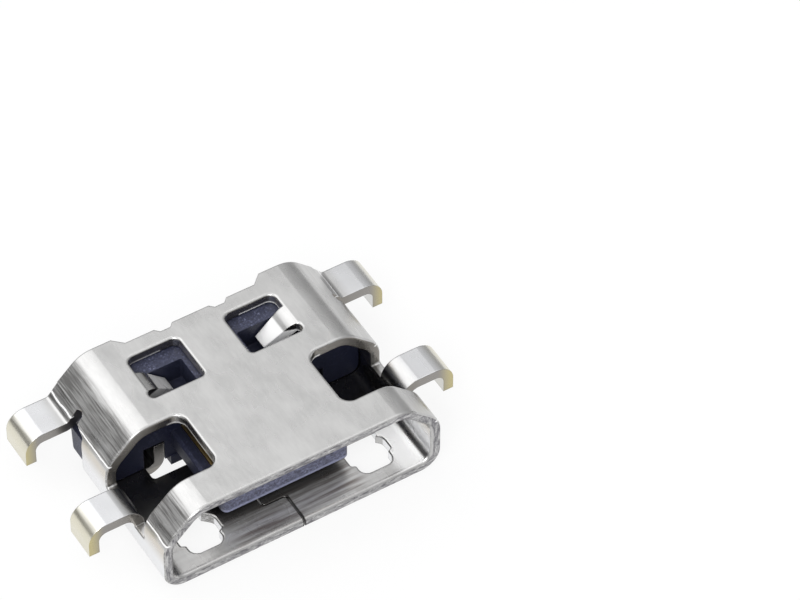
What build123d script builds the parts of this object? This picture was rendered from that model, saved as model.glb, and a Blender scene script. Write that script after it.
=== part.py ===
from build123d import *
import os
from math import cos, hypot, radians, sin

# Charging socket that sinks into a cut-out of its circuit board, in millimetres.
# The mouth faces -Y, the narrow side of the opening faces up, and the part stands on
# the flat floor of its shell. Depths count back from the mouth, heights count up from
# the floor's underside, and reaches count out from the middle plane.

# Shell: one stamped and folded sheet
sheet = 0.27
shell_width = 7.50
shell_height = 2.45
shoulder_width = 0.89
shoulder_drop = 0.87
foot_bend = 0.55
side_bend = 0.80
top_bend = 0.80
mouth_round = 0.06
mouth_lead = 0.11
punch_roll = 0.06

# Four soldering legs, all seated on one board plane
seat_height = 1.20
tip_height = 0.61
tip_bend = 0.36
front_leg_flat = 0.47
front_leg_start = 1.41
front_leg_width = 0.89
front_root_bend = 0.38
rear_leg_flat = 0.70
rear_leg_width = 0.96
rear_root_bend = 0.25
rear_root_drop = 0.62
rear_root_pinch = 0.10
relief_width = 0.28
relief_reach = 3.44

# Windows in the top: a wrap-around pair in front, a plain pair behind
front_window_reach = 1.70
front_window_start = 0.98
front_window_length = 1.77
front_window_drop = 0.63
front_window_corner = 0.30
rear_window_reach = 0.62
rear_window_width = 1.38
rear_window_start = 3.46
rear_window_length = 1.37
rear_window_corner = 0.20

# Rear edge of the top, from the middle outwards, and of the side walls
rim_width = 0.32
nib_reach = 0.50
nib_length = 0.11
dent_reach = 0.93
lip_reach = 1.76
lip_length = 0.12
lip_slant = 0.26
brow_length = 0.25
wall_overlap = 0.46

# Retention tabs, bent down from the outer edge of each rear window
catch_set_back = 0.26
catch_width = 0.63
catch_length = 0.92
catch_taper = 0.28
catch_angle = 43
catch_bend = 0.40
catch_slot_reach = 2.06
catch_slot_round = 0.12

# Floor: plug latch holes, sprung ramps, notches, folded-up tabs and the locking seam
latch_reach = 1.77
latch_width = 1.09
latch_start = 0.44
latch_length = 1.01
latch_neck = 0.34
latch_ear = 0.11
latch_cut = 0.25
latch_corner = 0.22
latch_tear = 0.04
ramp_reach = 2.00
ramp_width = 0.78
ramp_length = 0.75
ramp_rise = 0.20
flap_half = 1.16
flap_gap = 0.04
flap_corner = 0.25
notch_length = 1.03
notch_reach = 2.43
notch_corner = 0.10
fold_length = 0.65
fold_reach = 2.05
fold_height = 0.92
fold_bend = 0.30
seam_gap = 0.04
hook_half = 0.64
hook_front = 0.85
hook_turn = 1.98
hook_middle = 1.72
hook_flat = 0.36
hook_bend = 0.12

# Insulating housing: one moulding
fit = 0.03
tongue_half = 1.71
tongue_start = 0.80
tongue_bottom = 0.64
tongue_thickness = 0.58
tongue_round = 0.08
boss_reach = 1.22
boss_width = 0.53
boss_set_back = 0.36
bar_gap = 0.05
bar_length = 0.75
bar_half = 3.60
bar_height = 1.12
bar_corner = 0.40
bar_slope = 0.07
bar_recess = 0.10
ledge_half = 1.75
ledge_length = 0.43
wing_length = 0.23
wing_reach = 3.55
wing_pinch = 0.35
wing_slant = 0.14
wing_slope = 0.22
pocket_floor = 1.50
pocket_margin = 0.05

# Five contacts
contact_count = 5
contact_spacing = 0.65
contact_width = 0.23
contact_thickness = 0.15
contact_play = 0.01
blade_start = 0.98
blade_proud = 0.03
jog_set_back = 0.22
jog_length = 0.40
jog_bend = 0.20
tail_overhang = 0.60

# Worked out from the driving sizes
half_width = shell_width / 2
flat_half = half_width - shoulder_width
shoulder_length = hypot(shoulder_width, shoulder_drop)
shoulder_foot = shell_height - shoulder_drop
front_window_sill = shoulder_foot - front_window_drop
top_inside = shell_height - sheet
leg_middle = seat_height + sheet / 2
wall_middle = half_width - sheet / 2
dent_depth = rear_window_start + rear_window_length + rim_width
nib_depth = dent_depth + nib_length
lip_depth = dent_depth + lip_length
top_depth = lip_depth + brow_length
rear_leg_start = top_depth - rear_leg_width
wall_depth = rear_window_start + wall_overlap
catch_start = rear_window_start + catch_set_back
notch_start = wall_depth - notch_length
fold_start = wall_depth - fold_length
boss_start = notch_start + boss_set_back
block_start = boss_start + fit
bar_start = wall_depth + bar_gap
bar_depth = bar_start + bar_length
ledge_depth = bar_depth + ledge_length
wing_depth = ledge_depth + wing_length
tongue_top = tongue_bottom + tongue_thickness
tail_depth = ledge_depth + tail_overhang
overall_depth = max(top_depth, tail_depth)
over = 0.5  # how far a cutting shape stands past what it cuts


def from_front(depth):
    """Place along Y of a depth counted back from the mouth."""
    return depth - overall_depth / 2


def section_plane(depth):
    """Upright plane across the part at a depth, facing the front."""
    return Plane.XZ.offset(-from_front(depth))


def shell_section(inset):
    """The shell's outer section, moved in by an inset."""
    with BuildSketch() as section:
        with BuildLine():
            FilletPolyline(
                (half_width, 0),
                (half_width, shoulder_foot),
                (flat_half, shell_height),
                (-flat_half, shell_height),
                (-half_width, shoulder_foot),
                (-half_width, 0),
                radius=(foot_bend, side_bend, top_bend, top_bend, side_bend, foot_bend),
                close=True,
            )
        make_face()
        if inset:
            offset(amount=-inset)
    return section.sketch


def shoulder_reach(height, inset):
    """Reach of the sloping shoulder at a height, on a line set in from its outside."""
    outside = flat_half + (shell_height - height) * shoulder_width / shoulder_drop
    return outside - inset * shoulder_length / shoulder_drop


def on_outside(edge):
    """Whether an edge of a hole in the right half lies on the shell's outer face."""
    middle = edge.center()
    outside_slope = middle.X > shoulder_reach(middle.Z, sheet / 2)
    return outside_slope or middle.X > wall_middle or middle.Z > shell_height - sheet / 2


def folded_strip(middle_line, bends, start, length):
    """Strip of sheet folded along a line in the cross-section, over part of the depth."""
    with BuildPart() as strip:
        with BuildSketch(section_plane(start)):
            with BuildLine():
                FilletPolyline(*middle_line, radius=bends)
            trace(line_width=sheet)
        extrude(amount=-length)
    return strip.part


def front_leg():
    """Leg that rises from the side wall, turns out over the board and dips into it."""
    tip_middle = wall_middle + front_root_bend + front_leg_flat + tip_bend
    root_height = max(foot_bend, front_window_sill - front_root_bend)
    line = [
        (wall_middle, root_height),
        (wall_middle, leg_middle),
        (tip_middle, leg_middle),
        (tip_middle, tip_height),
    ]
    return folded_strip(line, (front_root_bend, tip_bend), front_leg_start, front_leg_width)


def rear_leg():
    """Leg that runs down the shoulder, turns out over the board and dips into it."""
    root_height = shell_height - rear_root_drop + sheet
    turn_height = (root_height + shoulder_foot) / 2
    root_middle = shoulder_reach(leg_middle, sheet / 2) - rear_root_pinch
    tip_middle = root_middle + rear_leg_flat + tip_bend
    line = [
        (shoulder_reach(root_height, sheet / 2), root_height),
        (shoulder_reach(turn_height, sheet / 2), turn_height),
        (root_middle, leg_middle),
        (tip_middle, leg_middle),
        (tip_middle, tip_height),
    ]
    bends = (side_bend, rear_root_bend, tip_bend)
    return folded_strip(line, bends, rear_leg_start, rear_leg_width)


def retention_tab():
    """Tapered tab bent down from a rear window's outer edge, which holds the housing."""
    sheet_middle = shell_height - sheet / 2
    root = rear_window_reach + rear_window_width
    line = [
        (root + catch_bend, sheet_middle),
        (root, sheet_middle),
        (
            root - catch_length * cos(radians(catch_angle)),
            sheet_middle - catch_length * sin(radians(catch_angle)),
        ),
    ]
    catch_tip = root - catch_length * cos(radians(catch_angle)) - sheet
    with BuildPart() as tab:
        add(folded_strip(line, catch_bend, catch_start, catch_width))
        with BuildSketch():
            with BuildLine():
                Polyline(
                    (root, from_front(catch_start)),
                    (catch_tip, from_front(catch_start + catch_taper)),
                    (catch_tip, from_front(catch_start) - over),
                    (root, from_front(catch_start) - over),
                    close=True,
                )
            make_face()
        extrude(amount=shell_height, mode=Mode.SUBTRACT)
    return tab.part


def folded_tab():
    """Tab folded up from the floor into a pocket of the housing."""
    line = [
        (notch_reach + fold_bend, sheet / 2),
        (fold_reach, sheet / 2),
        (fold_reach, fold_height),
    ]
    return folded_strip(line, fold_bend, fold_start, fold_length)


# Shell: one half is shaped and mirrored, then the seam is cut
leg_in_front = front_leg()
leg_behind = rear_leg()
catch_tab = retention_tab()
floor_tab = folded_tab()

with BuildPart() as shell:
    # Tube of the folded section, with its mouth edges rolled over
    with BuildSketch(section_plane(0)):
        add(shell_section(0))
        add(shell_section(sheet), mode=Mode.SUBTRACT)
    extrude(amount=-top_depth)
    mouth = shell.faces().sort_by(Axis.Y)[0]
    fillet(mouth.outer_wire().edges(), radius=mouth_round)
    mouth = shell.faces().sort_by(Axis.Y)[0]
    fillet(mouth.inner_wires().edges(), radius=mouth_lead)
    split(bisect_by=Plane.YZ)

    # Floor and side wall end in front of the rear legs; the top runs on
    shoulder_cut = shell_height - rear_root_drop
    relief_start = rear_leg_start - relief_width
    with BuildSketch(Plane.YZ):
        with BuildLine():
            FilletPolyline(
                (from_front(wall_depth), -over),
                (from_front(wall_depth), shoulder_foot - mouth_round),
                (from_front(relief_start), shoulder_foot + mouth_round),
                (from_front(relief_start), shoulder_cut),
                (from_front(top_depth) + over, shoulder_cut),
                (from_front(top_depth) + over, -over),
                radius=(0, relief_width / 4, 0, 0, 0, 0),
                close=True,
            )
        make_face()
    extrude(amount=shell_width, mode=Mode.SUBTRACT)

    # Relief slot between the side wall and the rear leg
    add(leg_behind)
    with BuildSketch(Plane.XY.offset(shoulder_foot - over)):
        slot_middle = relief_reach + (half_width + relief_width) / 2
        with Locations((slot_middle, from_front(rear_leg_start - relief_width / 2))):
            SlotCenterToCenter(half_width, relief_width)
    extrude(amount=shoulder_drop + over, mode=Mode.SUBTRACT)

    # Rear edge of the top, left by the carrier strip
    with BuildSketch(Plane.XY.offset(top_inside - over)):
        with BuildLine():
            Polyline(
                (-over, from_front(nib_depth)),
                (nib_reach, from_front(nib_depth)),
                (nib_reach + (nib_depth - dent_depth), from_front(dent_depth)),
                (dent_reach - (lip_depth - dent_depth) / 2, from_front(dent_depth)),
                (dent_reach + (lip_depth - dent_depth) / 2, from_front(lip_depth)),
                (lip_reach, from_front(lip_depth)),
                (lip_reach + lip_slant, from_front(top_depth)),
                (lip_reach + lip_slant, from_front(top_depth) + over),
                (-over, from_front(top_depth) + over),
                close=True,
            )
        make_face()
    extrude(amount=sheet + 2 * over, mode=Mode.SUBTRACT)

    # Rear window with a relief slot beside the retention tab
    with BuildSketch(Plane.XY.offset(top_inside - over)):
        with Locations((rear_window_reach, from_front(rear_window_start))):
            RectangleRounded(
                rear_window_width,
                rear_window_length,
                rear_window_corner,
                align=(Align.MIN, Align.MIN),
            )
            RectangleRounded(
                catch_slot_reach - rear_window_reach,
                catch_start - rear_window_start,
                catch_slot_round,
                align=(Align.MIN, Align.MIN),
            )
    extrude(amount=sheet + 2 * over, mode=Mode.SUBTRACT)
    rolled = shell.edges(Select.LAST).filter_by(Plane.XY).group_by(Axis.Z)[-1]
    fillet(rolled, radius=punch_roll)
    add(catch_tab)

    # Front window, which takes the shoulder and the upper side wall with it
    with BuildSketch(Plane.XY.offset(front_window_sill)):
        with Locations((front_window_reach, from_front(front_window_start))):
            RectangleRounded(
                half_width,
                front_window_length,
                front_window_corner,
                align=(Align.MIN, Align.MIN),
            )
    extrude(amount=shell_height, mode=Mode.SUBTRACT)
    rim = shell.edges(Select.LAST).filter_by(Axis.Z, reverse=True)
    fillet(rim.filter_by(on_outside), radius=punch_roll)
    add(leg_in_front)

    # Latch hole, left ragged by the punch
    with BuildSketch(Plane.XY.offset(-over)):
        latch_end = latch_start + latch_length
        latch_outside = latch_reach + latch_width
        with BuildLine():
            FilletPolyline(
                (latch_reach + latch_ear, from_front(latch_start)),
                (latch_outside - latch_ear, from_front(latch_start)),
                (latch_outside - latch_ear, from_front(latch_start + latch_neck)),
                (latch_outside, from_front(latch_start + latch_neck + latch_ear / 2)),
                (latch_outside, from_front(latch_end - latch_cut)),
                (latch_outside - latch_cut, from_front(latch_end)),
                (latch_reach + latch_cut, from_front(latch_end)),
                (latch_reach, from_front(latch_end - latch_cut)),
                (latch_reach, from_front(latch_start + latch_neck + latch_ear / 2)),
                (latch_reach + latch_ear, from_front(latch_start + latch_neck)),
                radius=(
                    latch_corner,
                    latch_corner,
                    latch_tear,
                    latch_tear,
                    latch_corner,
                    latch_corner,
                    latch_corner,
                    latch_corner,
                    latch_tear,
                    latch_tear,
                ),
                close=True,
            )
        make_face()
    extrude(amount=sheet + 2 * over, mode=Mode.SUBTRACT)
    rolled = shell.edges(Select.LAST).filter_by(Plane.XY).group_by(Axis.Z)[-1]
    fillet(rolled, radius=punch_roll)

    # Ramp behind the latch hole: sheared along its sides and pressed up into the tube
    with BuildSketch(Plane.XY.offset(-over)):
        with Locations((ramp_reach, from_front(latch_end - latch_cut / 2))):
            Rectangle(ramp_width, ramp_length + latch_cut / 2, align=(Align.MIN, Align.MIN))
    extrude(amount=sheet + over, mode=Mode.SUBTRACT)
    with BuildSketch(Plane.YZ.offset(ramp_reach)):
        with BuildLine():
            Polyline(
                (from_front(latch_end), ramp_rise),
                (from_front(latch_end + ramp_length), 0),
                (from_front(latch_end + ramp_length), sheet),
                (from_front(latch_end), sheet + ramp_rise),
                close=True,
            )
        make_face()
    extrude(amount=ramp_width)

    # Notch in the floor's rear edge, between the middle flap and the folded tab
    flap_depth = wall_depth - flap_gap
    with BuildSketch(Plane.XY.offset(-over)):
        with BuildLine():
            FilletPolyline(
                (-over, from_front(flap_depth)),
                (flap_half, from_front(flap_depth)),
                (flap_half, from_front(notch_start)),
                (notch_reach, from_front(notch_start)),
                (notch_reach, from_front(wall_depth) + over),
                (-over, from_front(wall_depth) + over),
                radius=(0, flap_corner, notch_corner, notch_corner, 0, 0),
                close=True,
            )
        make_face()
    extrude(amount=sheet + over + fit, mode=Mode.SUBTRACT)
    add(floor_tab)

    mirror(about=Plane.YZ)

    # Seam: the two ends of the sheet meet in a double hook along the floor
    hook_back = 2 * hook_middle
    with BuildSketch(Plane.XY.offset(-over)):
        with BuildLine():
            FilletPolyline(
                (0, from_front(-over)),
                (0, from_front(hook_front)),
                (-hook_half, from_front(hook_front)),
                (-hook_half, from_front(hook_turn)),
                (-hook_flat, from_front(hook_turn)),
                (hook_flat, from_front(hook_back - hook_turn)),
                (hook_half, from_front(hook_back - hook_turn)),
                (hook_half, from_front(hook_back - hook_front)),
                (0, from_front(hook_back - hook_front)),
                (0, from_front(wall_depth + over)),
                radius=hook_bend,
            )
        trace(line_width=seam_gap)
    extrude(amount=sheet + over + fit, mode=Mode.SUBTRACT)

shell.part.label = "shell"


def contact_path():
    """Middle line of a contact, from the tongue back to the soldering tail."""
    blade_height = tongue_top + blade_proud - contact_thickness / 2
    tail_height = seat_height + contact_thickness / 2
    jog_start = block_start + jog_set_back
    return [
        (from_front(blade_start), blade_height),
        (from_front(jog_start), blade_height),
        (from_front(jog_start + jog_length), tail_height),
        (from_front(tail_depth), tail_height),
    ]


def contact_reaches():
    """Places of the contacts across the part."""
    middle = (contact_count - 1) / 2
    return [(index - middle) * contact_spacing for index in range(contact_count)]


# Housing: tongue, block, bar, ledge and wings of one moulding
housing_top = top_inside - fit
block_bottom = sheet + fit
ledge_bottom = seat_height + contact_thickness + contact_play

with BuildPart() as insulator_housing:
    # Tongue that the plug slides over, with a rounded nose
    with BuildSketch(section_plane(tongue_start)):
        with Locations((0, tongue_bottom)):
            Rectangle(2 * tongue_half, tongue_thickness, align=(Align.CENTER, Align.MIN))
    extrude(amount=tongue_start - block_start)
    nose = insulator_housing.faces().sort_by(Axis.Y)[0]
    fillet(nose.edges().filter_by(Axis.Z), radius=2 * tongue_round)
    chamfer(insulator_housing.faces().sort_by(Axis.Y)[0].edges().filter_by(Axis.X), length=tongue_round)

    # Block that fills the tube behind the plug space
    with BuildSketch(section_plane(block_start)):
        add(shell_section(sheet + fit))
    extrude(amount=block_start - bar_depth)

    # Bar across the rear, which closes the floor behind the shell
    with BuildSketch(Plane.YZ):
        with BuildLine():
            Polyline(
                (from_front(bar_start), fit),
                (from_front(bar_depth - bar_slope), fit),
                (from_front(bar_depth), bar_height),
                (from_front(bar_start), bar_height),
                close=True,
            )
        make_face()
    extrude(amount=bar_half, both=True)
    fillet(insulator_housing.edges().filter_by(Axis.Y).group_by(Axis.Z)[0], radius=bar_corner)

    # Ledge over the tails and the wings beside it, under the top and between the rear legs
    inner_bend = top_bend - sheet - fit
    ledge_reach = shoulder_reach(ledge_bottom, sheet + fit) - rear_root_pinch
    with BuildSketch(section_plane(bar_depth)):
        with BuildLine():
            FilletPolyline(
                (-ledge_reach, ledge_bottom),
                (-shoulder_reach(housing_top, sheet + fit), housing_top),
                (shoulder_reach(housing_top, sheet + fit), housing_top),
                (ledge_reach, ledge_bottom),
                radius=(0, inner_bend, inner_bend, 0),
                close=True,
            )
        make_face()
    extrude(amount=bar_depth - wing_depth)
    with BuildSketch(Plane.XY.offset(ledge_bottom - over)):
        with BuildLine():
            FilletPolyline(
                (-over, from_front(ledge_depth)),
                (ledge_half, from_front(ledge_depth)),
                (ledge_half + wing_slant, from_front(wing_depth)),
                (wing_reach - wing_pinch, from_front(wing_depth)),
                (wing_reach, from_front(bar_depth)),
                (wing_reach + over, from_front(bar_depth)),
                (wing_reach + over, from_front(wing_depth) + over),
                (-over, from_front(wing_depth) + over),
                radius=(0, wing_slant / 2, wing_slant / 2, wing_slant, 0, 0, 0, 0),
                close=True,
            )
        make_face()
        mirror(about=Plane.YZ)
    extrude(amount=shell_height, mode=Mode.SUBTRACT)
    for side in (-1, 1):
        with BuildSketch(Plane.YZ.offset(side * ledge_half)):
            with BuildLine():
                Polyline(
                    (from_front(bar_depth), ledge_bottom),
                    (from_front(wing_depth) + over, ledge_bottom + wing_slope),
                    (from_front(wing_depth) + over, ledge_bottom - over),
                    (from_front(bar_depth), ledge_bottom - over),
                    close=True,
                )
            make_face()
        extrude(amount=side * shell_width, mode=Mode.SUBTRACT)

    # Middle of the bar stands back behind the tails
    with BuildSketch(Plane.XY):
        with Locations((0, from_front(bar_depth - bar_recess))):
            Rectangle(2 * (ledge_half - bar_recess), over, align=(Align.CENTER, Align.MIN))
    extrude(amount=ledge_bottom, mode=Mode.SUBTRACT)

    # Bosses that fill the floor's notches beside the middle flap
    with BuildSketch(Plane.XY.offset(fit)):
        for side in (-1, 1):
            with Locations((side * (boss_reach + boss_width / 2), from_front(boss_start))):
                Rectangle(boss_width, bar_start - boss_start + fit, align=(Align.CENTER, Align.MIN))
    extrude(amount=block_bottom)

    # Pockets for the floor's folded tabs, open to the front
    fold_inside = fold_reach - sheet / 2 - fit
    with BuildSketch(Plane.XY):
        for side in (-1, 1):
            with Locations((side * (fold_inside + notch_reach + fit) / 2, from_front(block_start - fit))):
                Rectangle(
                    notch_reach + fit - fold_inside,
                    bar_start - block_start + fit,
                    align=(Align.CENTER, Align.MIN),
                )
    extrude(amount=fold_height + pocket_margin, mode=Mode.SUBTRACT)

    # Pockets for the retention tabs, under the rear windows
    pocket_inside = rear_window_reach + sheet / 2
    pocket_start = rear_window_start + pocket_margin
    with BuildSketch(Plane.XY.offset(pocket_floor)):
        for side in (-1, 1):
            with Locations((side * (pocket_inside + catch_slot_reach) / 2, from_front(pocket_start))):
                RectangleRounded(
                    catch_slot_reach - pocket_inside,
                    catch_start + catch_width + pocket_margin - pocket_start,
                    pocket_margin,
                    align=(Align.CENTER, Align.MIN),
                )
    extrude(amount=shell_height - pocket_floor, mode=Mode.SUBTRACT)

    # Channels that grip the contacts
    for reach in contact_reaches():
        with BuildSketch(Plane.YZ.offset(reach)):
            with BuildLine():
                FilletPolyline(*contact_path(), radius=jog_bend)
            trace(line_width=contact_thickness + 2 * contact_play)
        extrude(amount=contact_width / 2 + contact_play, both=True, mode=Mode.SUBTRACT)

insulator_housing.part.label = "insulator_housing"

os.makedirs("parts", exist_ok=True)
export_step(shell.part, "parts/shell.step")
export_step(insulator_housing.part, "parts/insulator_housing.step")

# Contacts: five alike, side by side
for index, reach in enumerate(contact_reaches(), start=1):
    with BuildPart() as contact:
        with BuildSketch(Plane.YZ.offset(reach)):
            with BuildLine():
                FilletPolyline(*contact_path(), radius=jog_bend)
            trace(line_width=contact_thickness)
        extrude(amount=contact_width / 2, both=True)
        chamfer(contact.faces().sort_by(Axis.Y)[0].edges(), length=blade_proud)
        chamfer(contact.faces().sort_by(Axis.Y)[-1].edges(), length=blade_proud)
    contact.part.label = f"contact_{index}"
    export_step(contact.part, f"parts/contact_{index}.step")
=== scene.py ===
import bpy
from math import cos, radians, sin
from mathutils import Matrix, Vector

# Charging socket on a pale studio sweep, seen from the front left and above.
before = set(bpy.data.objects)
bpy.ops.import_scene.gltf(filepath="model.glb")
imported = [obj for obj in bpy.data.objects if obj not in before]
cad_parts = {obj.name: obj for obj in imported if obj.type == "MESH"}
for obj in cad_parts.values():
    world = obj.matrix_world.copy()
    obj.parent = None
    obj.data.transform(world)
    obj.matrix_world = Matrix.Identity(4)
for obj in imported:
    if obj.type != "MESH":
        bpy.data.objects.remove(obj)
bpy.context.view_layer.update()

MM = 0.001
WHITE = (1.0, 1.0, 1.0, 1.0)

# Camera, solved from the corners of the part in the photograph; angles in degrees
PHOTO_WIDTH = 800
CAMERA_BEARING = -31.688
CAMERA_RISE = 48.641
CAMERA_ROLL = 0.23
CAMERA_DISTANCE = 113.73 * MM
CAMERA_ASIDE = -3.635 * MM
CAMERA_ALOFT = -2.795 * MM
CAMERA_FOCAL_PIXELS = 4822.6
AIM = Vector((0.0, -0.175, 1.2)) * MM
SENSOR_WIDTH = 36.0


def make_camera():
    """Camera at the photograph's angle, with the part where the photograph has it."""
    bearing = radians(CAMERA_BEARING)
    rise = radians(CAMERA_RISE)
    roll = radians(CAMERA_ROLL)
    look = Vector((-sin(bearing) * cos(rise), cos(bearing) * cos(rise), -sin(rise)))
    level_right = Vector((cos(bearing), sin(bearing), 0.0))
    level_up = level_right.cross(look)
    right = cos(roll) * level_right + sin(roll) * level_up
    up = -sin(roll) * level_right + cos(roll) * level_up
    place = AIM - CAMERA_ASIDE * right - CAMERA_ALOFT * up - CAMERA_DISTANCE * look
    data = bpy.data.cameras.new("camera")
    data.sensor_width = SENSOR_WIDTH
    data.lens = CAMERA_FOCAL_PIXELS * SENSOR_WIDTH / PHOTO_WIDTH
    data.clip_start = CAMERA_DISTANCE / 20
    data.clip_end = 100 * CAMERA_DISTANCE
    camera = bpy.data.objects.new("camera", data)
    turn = Matrix((right, up, -look)).transposed()
    camera.matrix_world = Matrix.Translation(place) @ turn.to_4x4()
    bpy.context.scene.collection.objects.link(camera)
    bpy.context.scene.camera = camera


class Nodes:
    """Short way to build one node material."""

    def __init__(self, name):
        self.material = bpy.data.materials.new(name)
        self.material.use_nodes = True
        self.tree = self.material.node_tree
        self.tree.nodes.clear()
        self.output = self.add("ShaderNodeOutputMaterial")
        self.shader = self.add("ShaderNodeBsdfPrincipled")
        self.link(self.shader.outputs["BSDF"], self.output.inputs["Surface"])
        self.place = self.add("ShaderNodeTexCoord").outputs["Object"]

    @classmethod
    def of_world(cls, world):
        """The same for a world's background."""
        self = cls.__new__(cls)
        world.use_nodes = True
        self.tree = world.node_tree
        self.tree.nodes.clear()
        self.output = self.add("ShaderNodeOutputWorld")
        self.shader = self.add("ShaderNodeBackground")
        self.link(self.shader.outputs["Background"], self.output.inputs["Surface"])
        self.place = self.add("ShaderNodeTexCoord").outputs["Generated"]
        return self

    def add(self, kind, **settings):
        node = self.tree.nodes.new(kind)
        for key, value in settings.items():
            setattr(node, key, value)
        return node

    def link(self, source, target):
        self.tree.links.new(source, target)

    def put(self, socket, value):
        """Sets a socket to a value, or links a node's output to it."""
        if hasattr(value, "is_output"):
            self.link(value, socket)
        else:
            socket.default_value = value

    def stretched(self, scale):
        """Object coordinates, scaled along each axis."""
        mapping = self.add("ShaderNodeMapping")
        self.link(self.place, mapping.inputs["Vector"])
        mapping.inputs["Scale"].default_value = scale
        return mapping.outputs["Vector"]

    def noise(self, size, detail=4.0, roughness=0.6, scale=(1, 1, 1), distortion=0.0):
        """Noise whose blotches are about one size across, in millimetres."""
        node = self.add("ShaderNodeTexNoise")
        self.link(self.stretched(scale), node.inputs["Vector"])
        node.inputs["Scale"].default_value = 1.0 / (size * MM)
        node.inputs["Detail"].default_value = detail
        node.inputs["Roughness"].default_value = roughness
        node.inputs["Distortion"].default_value = distortion
        return node.outputs["Fac"]

    def ramp(self, factor, stops):
        """Grey ramp from (position, value) stops."""
        node = self.add("ShaderNodeValToRGB")
        self.put(node.inputs["Fac"], factor)
        elements = node.color_ramp.elements
        while len(elements) < len(stops):
            elements.new(0.5)
        for element, (position, value) in zip(elements, stops):
            element.position = position
            element.color = (value, value, value, 1.0)
        return node.outputs["Color"]

    def mix(self, factor, first, second):
        """The first value where the factor is 0 and the second where it is 1."""
        node = self.add("ShaderNodeMix", data_type="RGBA")
        self.put(node.inputs["Factor"], factor)
        self.put(node.inputs["A"], first)
        self.put(node.inputs["B"], second)
        return node.outputs["Result"]

    def math(self, operation, first, second=0.0):
        node = self.add("ShaderNodeMath", operation=operation)
        self.put(node.inputs[0], first)
        self.put(node.inputs[1], second)
        return node.outputs[0]

    def times(self, first, *others):
        """Product of several values."""
        for other in others:
            first = self.math("MULTIPLY", first, other)
        return first

    def axis(self, name):
        """One object coordinate, in metres."""
        split = self.add("ShaderNodeSeparateXYZ")
        self.link(self.place, split.inputs["Vector"])
        return split.outputs[name]

    def facing(self, name):
        """One component of the surface's own normal."""
        split = self.add("ShaderNodeSeparateXYZ")
        place = self.add("ShaderNodeTexCoord")
        self.link(place.outputs["Normal"], split.inputs["Vector"])
        return split.outputs[name]

    def fade(self, value, start, end):
        """0 on the far side of start and 1 past end, smooth between."""
        node = self.add("ShaderNodeMapRange", interpolation_type="SMOOTHSTEP")
        self.put(node.inputs["Value"], value)
        node.inputs["From Min"].default_value = start
        node.inputs["From Max"].default_value = end
        return node.outputs["Result"]

    def past(self, value, span):
        """Fade of a length over a (start, end) span in millimetres."""
        start, end = span
        return self.fade(value, start * MM, end * MM)

    def within(self, value, span, soft):
        """1 for lengths within a span in millimetres, with both ends soft."""
        start, end = span
        rise = self.past(value, (start - soft, start))
        fall = self.past(value, (end + soft, end))
        return self.times(rise, fall)

    def crevice(self, distance):
        """0 deep in a gap or corner and 1 on open surface; distance in millimetres."""
        node = self.add("ShaderNodeAmbientOcclusion", samples=4)
        node.inputs["Distance"].default_value = distance * MM
        return node.outputs["AO"]

    def bump(self, height, depth, normal):
        """Bump of a depth in millimetres, over another normal."""
        node = self.add("ShaderNodeBump")
        node.inputs["Distance"].default_value = depth * MM
        self.link(height, node.inputs["Height"])
        self.link(normal, node.inputs["Normal"])
        return node.outputs["Normal"]

    def soft_edges(self, radius):
        """Normal that rounds sharp edges over a radius in metres."""
        node = self.add("ShaderNodeBevel", samples=6)
        self.put(node.inputs["Radius"], radius)
        return node.outputs["Normal"]

    def finish(self, **sockets):
        for key, value in sockets.items():
            self.put(self.shader.inputs[key.replace("_", " ")], value)
        return self.material


STEEL = (0.62, 0.618, 0.613, 1.0)
STEEL_DULL = (0.545, 0.543, 0.54, 1.0)
STEEL_SHADE = (0.17, 0.165, 0.16, 1.0)
# Painted light: paler copies of the steel for the legs and side walls, tan towards the walls'
# top
LEG_STEEL_LIT = (0.70, 0.705, 0.72, 1.0)
WALL_STEEL_LIT = (0.88, 0.885, 0.90, 1.0)
TAN_STEEL = (0.68, 0.64, 0.58, 1.0)
CUT_STEEL = (0.17, 0.15, 0.125, 1.0)
# Faint dark streaks on the inner floor, with painted shade and painted reflections under the
# tongue
DARK_STREAK_AND_SHADE = (0.15, 0.12, 0.11, 1.0)
# Painted shade along the floor's seam
SEAM = (0.05, 0.045, 0.045, 1.0)
SHEARED = (0.20, 0.195, 0.21, 1.0)
# Painted highlight on the crease, the retention tabs and the right end of the inner floor
PAINTED_HIGHLIGHT = (0.95, 0.95, 0.95, 1.0)
CREAM = (0.74, 0.71, 0.59, 1.0)
OLIVE = (0.53, 0.47, 0.26, 1.0)

# Parts of a unit normal over which a face counts as square to an axis, a wall or a shoulder
SQUARE = (0.8, 0.95)
UPRIGHT = (0.93, 0.98)
SLOPE_STARTS = (0.46, 0.66)
SLOPE_ENDS = (0.96, 0.90)

# Places on the shell in millimetres; a reach is the distance from the middle plane
INNER_FLOOR_HEIGHT = (0.37, 0.27)
LEG_REACH = (3.8, 4.1)
TIP_REACH = (4.5, 4.95)
WALL_TAN_HEIGHT = (0.8, 1.45)
WALL_RIM_HEIGHT = (0.45, 1.9)
LEFT_HALF = (0.5, -0.5)
RIGHT_HALF = (0.0, 0.5)
MOUTH_RIM = (-2.6, -2.75)
MOUTH_FLOOR = (-1.5, -2.4)
TONGUE_REACH = (2.0, 1.5)
TONGUE_SHADE = (-2.1, -1.9)
CREASE_REACH = (3.55, 3.6)
CREASE_HEIGHT = (1.55, 1.58)
CREASE_WANDER = 0.08
TAB_REACH = (1.1, 2.05)
TAB_HEIGHT = (1.4, 2.2)
BRIGHT_END_ACROSS = (2.5, 2.9)
BRIGHT_END_ALONG = (-0.9, -1.6)
INSIDE_REACH = (3.60, 3.55)
INSIDE_HEIGHT = (0.2, 1.4)
INSIDE_ALONG = (-1.0, 0.3)
SEAM_ACROSS = (-0.04, 0.03)
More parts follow.
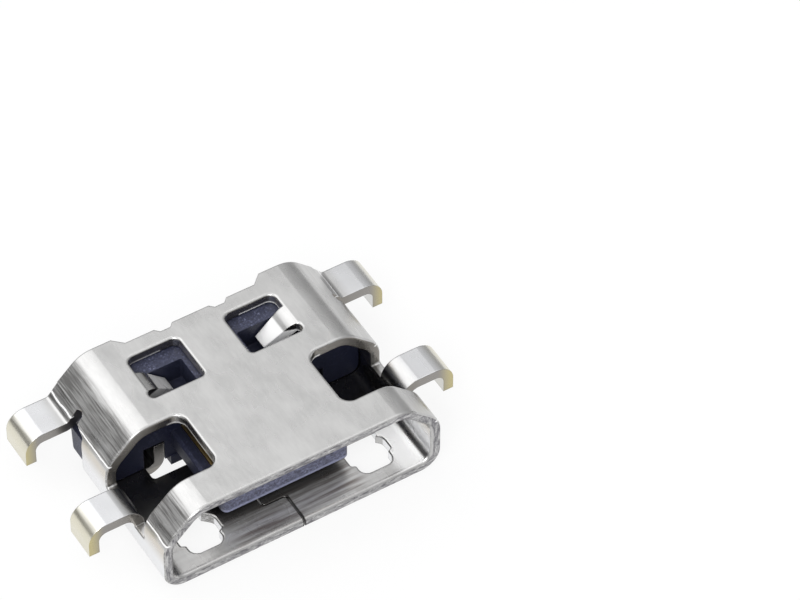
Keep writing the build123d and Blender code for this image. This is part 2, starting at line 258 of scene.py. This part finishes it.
SEAM_HEIGHT = (0.35, 0.3)
SEAM_ALONG = (-2.0, -2.05)

# Edges are rounded less on the inner floor, where the seam's two lips lie close
EDGE_ROUND = 0.04
FLOOR_EDGE_LESS = 0.03


def plated_steel():
    """Nickel-plated rolled sheet: satin, drawn along its depth, with pale gold leg tips."""
    m = Nodes("plated_steel")
    x, y, height = m.axis("X"), m.axis("Y"), m.axis("Z")
    reach = m.math("ABSOLUTE", x)
    sideways = m.math("ABSOLUTE", m.facing("X"))

    mottle = m.noise(0.6, detail=2.0, roughness=0.5, scale=(1, 0.6, 1))
    grain = m.noise(0.08, detail=2.0, scale=(1, 0.25, 1))
    along = m.noise(0.05, detail=3.0, scale=(1, 0.05, 1))
    across = m.noise(0.10, detail=3.0, scale=(0.05, 1, 1))
    sheared = m.mix(
        m.within(height, WALL_RIM_HEIGHT, 0.15),
        m.noise(0.05, detail=5.0, roughness=0.75, scale=(0.25, 1, 1)),
        m.noise(0.05, detail=5.0, roughness=0.75, scale=(1, 1, 0.25)),
    )

    cut_face = m.fade(m.times(m.facing("Y"), -1.0), *SQUARE)
    shoulder = m.times(m.fade(sideways, *SLOPE_STARTS), m.fade(sideways, *SLOPE_ENDS))
    inner_floor = m.times(m.past(height, INNER_FLOOR_HEIGHT), m.fade(m.facing("Z"), *SQUARE))
    under_tongue = m.past(reach, TONGUE_REACH)

    # Sheet, side walls and legs; the walls and legs get paler copies of the steel as painted
    # light, paler low on the walls and tan towards their top
    blotch = m.ramp(m.mix(0.45, mottle, grain), [(0.35, 0.0), (0.65, 1.0)])
    colour = m.mix(blotch, STEEL_DULL, STEEL)
    wall = m.mix(m.past(height, WALL_TAN_HEIGHT), WALL_STEEL_LIT, TAN_STEEL)
    colour = m.mix(m.fade(sideways, *UPRIGHT), colour, wall)
    colour = m.mix(m.past(reach, LEG_REACH), colour, LEG_STEEL_LIT)

    # Dark lines drawn along the shoulders, made stronger on the left as painted shade
    lines_and_left_shade = m.math("ADD", 0.25, m.past(x, LEFT_HALF))
    lines = m.ramp(along, [(0.40, 0.62), (0.60, 0.0)])
    colour = m.mix(m.times(shoulder, lines_and_left_shade, lines), colour, STEEL_SHADE)

    # Floor within the mouth: faint dark streaks, made heavier under the tongue as painted shade
    # and blurred painted reflections of the tongue, then painted shade under the tongue's front
    streaks_and_tongue_shade = m.math("ADD", m.times(under_tongue, 0.7), 0.15)
    streaks = m.ramp(across, [(0.38, 1.0), (0.62, 0.0)])
    colour = m.mix(m.times(inner_floor, streaks_and_tongue_shade, streaks), colour, DARK_STREAK_AND_SHADE)
    shaded = m.times(inner_floor, under_tongue, m.past(y, TONGUE_SHADE), 0.75)
    colour = m.mix(shaded, colour, STEEL_SHADE)

    # Cut faces, with the mouth's rim torn by the shear
    rim = m.times(cut_face, m.past(y, MOUTH_RIM))
    torn = m.times(rim, m.ramp(sheared, [(0.42, 1.0), (0.62, 0.0)]))
    colour = m.mix(m.times(cut_face, 0.75), colour, CUT_STEEL)
    colour = m.mix(rim, colour, STEEL)
    colour = m.mix(torn, colour, SHEARED)

    # Painted highlight along the crease at the foot of the shoulder
    wander = m.times(m.noise(0.5), CREASE_WANDER * MM)
    crease_highlight = m.within(m.math("SUBTRACT", height, wander), CREASE_HEIGHT, 0.01)
    crease_highlight = m.times(crease_highlight, m.past(reach, CREASE_REACH))
    colour = m.mix(crease_highlight, colour, PAINTED_HIGHLIGHT)

    # Painted shade on the inner walls; painted highlights on the retention tabs, stronger on
    # the right, and on the right end of the inner floor
    inside_shade = m.times(m.past(reach, INSIDE_REACH), m.within(height, INSIDE_HEIGHT, 0.02))
    inside_shade = m.times(inside_shade, m.within(y, INSIDE_ALONG, 0.6), 0.8)
    colour = m.mix(inside_shade, colour, STEEL_SHADE)
    tab = m.times(m.within(reach, TAB_REACH, 0.05), m.within(height, TAB_HEIGHT, 0.05))
    tab = m.times(tab, m.math("ADD", 0.65, m.times(m.past(x, RIGHT_HALF), 0.35)))
    right_end = m.times(m.past(x, BRIGHT_END_ACROSS), m.past(y, BRIGHT_END_ALONG))
    bright = m.math("MAXIMUM", tab, m.times(inner_floor, right_end))
    colour = m.mix(bright, colour, PAINTED_HIGHLIGHT)

    # Leg tips, painted shade in the corners, and painted shade along the floor's seam
    tip_colour = m.mix(cut_face, CREAM, OLIVE)
    colour = m.mix(m.past(reach, TIP_REACH), colour, tip_colour)
    crevice_shade = m.ramp(m.crevice(0.12), [(0.15, 0.75), (0.6, 0.0)])
    colour = m.mix(crevice_shade, colour, STEEL_SHADE)
    seam = m.times(m.within(x, SEAM_ACROSS, 0.015), m.past(height, SEAM_HEIGHT))
    colour = m.mix(m.times(seam, m.past(y, SEAM_ALONG), 0.85), colour, SEAM)

    rough = m.ramp(mottle, [(0.3, 0.24), (0.75, 0.33)])
    rough = m.math("ADD", rough, m.times(torn, 0.2))
    scuffed = m.times(inner_floor, m.past(y, MOUTH_FLOOR), 0.5)
    # Painted highlights are made less metallic, so they stay pale
    whitened = m.times(m.math("MAXIMUM", bright, crease_highlight), 0.85)
    metal = m.math("SUBTRACT", 1.0, m.math("MAXIMUM", scuffed, whitened))
    edge = m.math("SUBTRACT", EDGE_ROUND * MM, m.times(inner_floor, FLOOR_EDGE_LESS * MM))
    normal = m.bump(m.times(along, shoulder), 0.001, m.soft_edges(edge))
    normal = m.bump(m.noise(0.8, detail=1.0), 0.006, normal)
    normal = m.bump(m.times(sheared, rim), 0.012, normal)
    return m.finish(Base_Color=colour, Metallic=metal, Roughness=rough, Normal=normal)


HOUSING_DARK = (0.012, 0.014, 0.030, 1.0)
HOUSING_BLUE = (0.044, 0.050, 0.100, 1.0)
# Pale fibre flecks; also the painted highlight along the tongue's lower lip
HOUSING_FLECK_AND_HIGHLIGHT = (0.40, 0.43, 0.62, 1.0)
# Painted light: a paler copy of the housing's blue for the tongue's front
HOUSING_NOSE_LIT = (0.20, 0.21, 0.32, 1.0)

# Places on the housing, in millimetres
NOSE_ALONG = (-1.9, -2.05)
LIP_HEIGHT = (0.71, 0.78)
BLOCK_FRONT_ALONG = (0.2, 0.7)


def housing_plastic():
    """Fibre-filled moulding: dark navy with paler flow marks and a fine speckle."""
    m = Nodes("housing_plastic")
    y = m.axis("Y")
    flow = m.noise(0.5, detail=6.0, roughness=0.65)
    fibre = m.noise(0.06, detail=6.0, roughness=0.8, distortion=0.4)

    # Painted light on the tongue's front
    lit_nose = m.past(y, NOSE_ALONG)
    blue = m.mix(lit_nose, HOUSING_BLUE, HOUSING_NOSE_LIT)
    colour = m.mix(m.ramp(fibre, [(0.36, 0.0), (0.60, 1.0)]), HOUSING_DARK, blue)
    fleck = m.ramp(fibre, [(0.56, 0.0), (0.70, 1.0)])
    fleck = m.times(fleck, m.ramp(flow, [(0.40, 0.2), (0.62, 0.9)]))
    colour = m.mix(fleck, colour, HOUSING_FLECK_AND_HIGHLIGHT)
    # Painted shade deep in the housing's hollows
    depth_shade = m.ramp(m.crevice(2.0), [(0.22, 0.95), (0.60, 0.0)])
    colour = m.mix(depth_shade, colour, HOUSING_DARK)

    # Painted shade on the block's front, with less shine, and a painted highlight along the
    # tongue's lower lip
    forward = m.fade(m.times(m.facing("Y"), -1.0), 0.5, 0.9)
    deep = m.times(forward, m.within(y, BLOCK_FRONT_ALONG, 0.1))
    colour = m.mix(m.times(deep, 0.7), colour, HOUSING_DARK)
    lip_highlight = m.times(lit_nose, m.within(m.axis("Z"), LIP_HEIGHT, 0.03), 0.5)
    colour = m.mix(lip_highlight, colour, HOUSING_FLECK_AND_HIGHLIGHT)

    rough = m.ramp(fibre, [(0.3, 0.34), (0.7, 0.60)])
    shine = m.math("SUBTRACT", 0.5, m.times(deep, 0.42))
    normal = m.bump(fibre, 0.010, m.soft_edges(0.03 * MM))
    normal = m.bump(flow, 0.012, normal)
    return m.finish(Base_Color=colour, Roughness=rough, Specular_IOR_Level=shine, Normal=normal)


GOLD = (0.78, 0.55, 0.22, 1.0)
GOLD_DULL = (0.55, 0.40, 0.18, 1.0)


def gold_plating():
    """Thin gold plate over drawn strip, with fine lines along it."""
    m = Nodes("gold_plating")
    streak = m.noise(0.05, detail=4.0, scale=(1, 0.1, 1))
    colour = m.mix(m.ramp(streak, [(0.3, 0.0), (0.7, 1.0)]), GOLD_DULL, GOLD)
    rough = m.ramp(streak, [(0.2, 0.28), (0.8, 0.42)])
    normal = m.bump(streak, 0.002, m.soft_edges(0.02 * MM))
    return m.finish(Base_Color=colour, Metallic=1.0, Roughness=rough, Normal=normal)


def dress(node_name, material):
    """Gives a CAD node a material."""
    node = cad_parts[node_name]
    node.data.materials.clear()
    node.data.materials.append(material)


# Share of plain white in the floor, as the camera and as a mirroring surface see it
FLOOR_SEEN = 0.85
FLOOR_MIRRORED = 0.75


def make_floor():
    """Pale floor, with the object's soft shadow on it."""
    bpy.ops.mesh.primitive_plane_add(size=1.0, location=(0, 0, 0))
    floor = bpy.context.object
    floor.name = "floor"
    m = Nodes("floor")
    grain = m.noise(2.0)
    m.finish(Base_Color=m.ramp(grain, [(0.0, 0.86), (1.0, 0.88)]), Roughness=0.8)
    glow = m.add("ShaderNodeEmission")
    glow.inputs["Color"].default_value = WHITE
    rays = m.add("ShaderNodeLightPath").outputs
    seen = m.times(rays["Is Camera Ray"], FLOOR_SEEN)
    mirrored = m.math("MAXIMUM", rays["Is Glossy Ray"], rays["Is Transmission Ray"])
    mirrored = m.times(mirrored, FLOOR_MIRRORED)
    both = m.add("ShaderNodeMixShader")
    m.link(m.math("MAXIMUM", seen, mirrored), both.inputs["Fac"])
    m.link(m.shader.outputs["BSDF"], both.inputs[1])
    m.link(glow.outputs["Emission"], both.inputs[2])
    m.link(both.outputs["Shader"], m.output.inputs["Surface"])
    floor.data.materials.append(m.material)


def make_lamp(name, place, size, power):
    """Square soft lamp that faces the part; place and size in millimetres."""
    data = bpy.data.lights.new(name, "AREA")
    data.size = size * MM
    data.energy = power
    lamp = bpy.data.objects.new(name, data)
    lamp.location = Vector(place) * MM
    lamp.rotation_euler = (-lamp.location).to_track_quat("-Z", "Y").to_euler()
    bpy.context.scene.collection.objects.link(lamp)


# Brightness of the studio from its lowest point to its highest, on either side
LEFT_SKY = [(0.0, 0.20), (0.28, 0.27), (0.46, 1.15), (0.70, 1.45), (0.87, 1.55), (0.97, 0.85)]
RIGHT_SKY = [(0.0, 0.40), (0.30, 0.42), (0.55, 0.60), (0.77, 0.62), (0.87, 1.60), (0.97, 0.85)]


def make_light():
    """Overcast studio: bright above, dim low down, dimmest low on the left."""
    world = bpy.data.worlds.new("studio")
    bpy.context.scene.world = world
    m = Nodes.of_world(world)
    side = m.fade(m.axis("X"), -0.6, 0.6)
    height = m.axis("Z")
    sky = m.mix(side, m.ramp(height, LEFT_SKY), m.ramp(height, RIGHT_SKY))
    m.put(m.shader.inputs["Color"], sky)
    m.shader.inputs["Strength"].default_value = 1.0
    make_lamp("rear_box", (-45, 130, 180), 210, 0.055)
    make_lamp("front_box", (-110, -110, 150), 90, 0.14)


make_camera()
make_floor()
make_light()
dress("shell", plated_steel())
dress("insulator_housing", housing_plastic())
gold = gold_plating()
for name in sorted(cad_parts):
    if name.startswith("contact_"):
        dress(name, gold)

scene = bpy.context.scene
scene.view_settings.view_transform = "Standard"
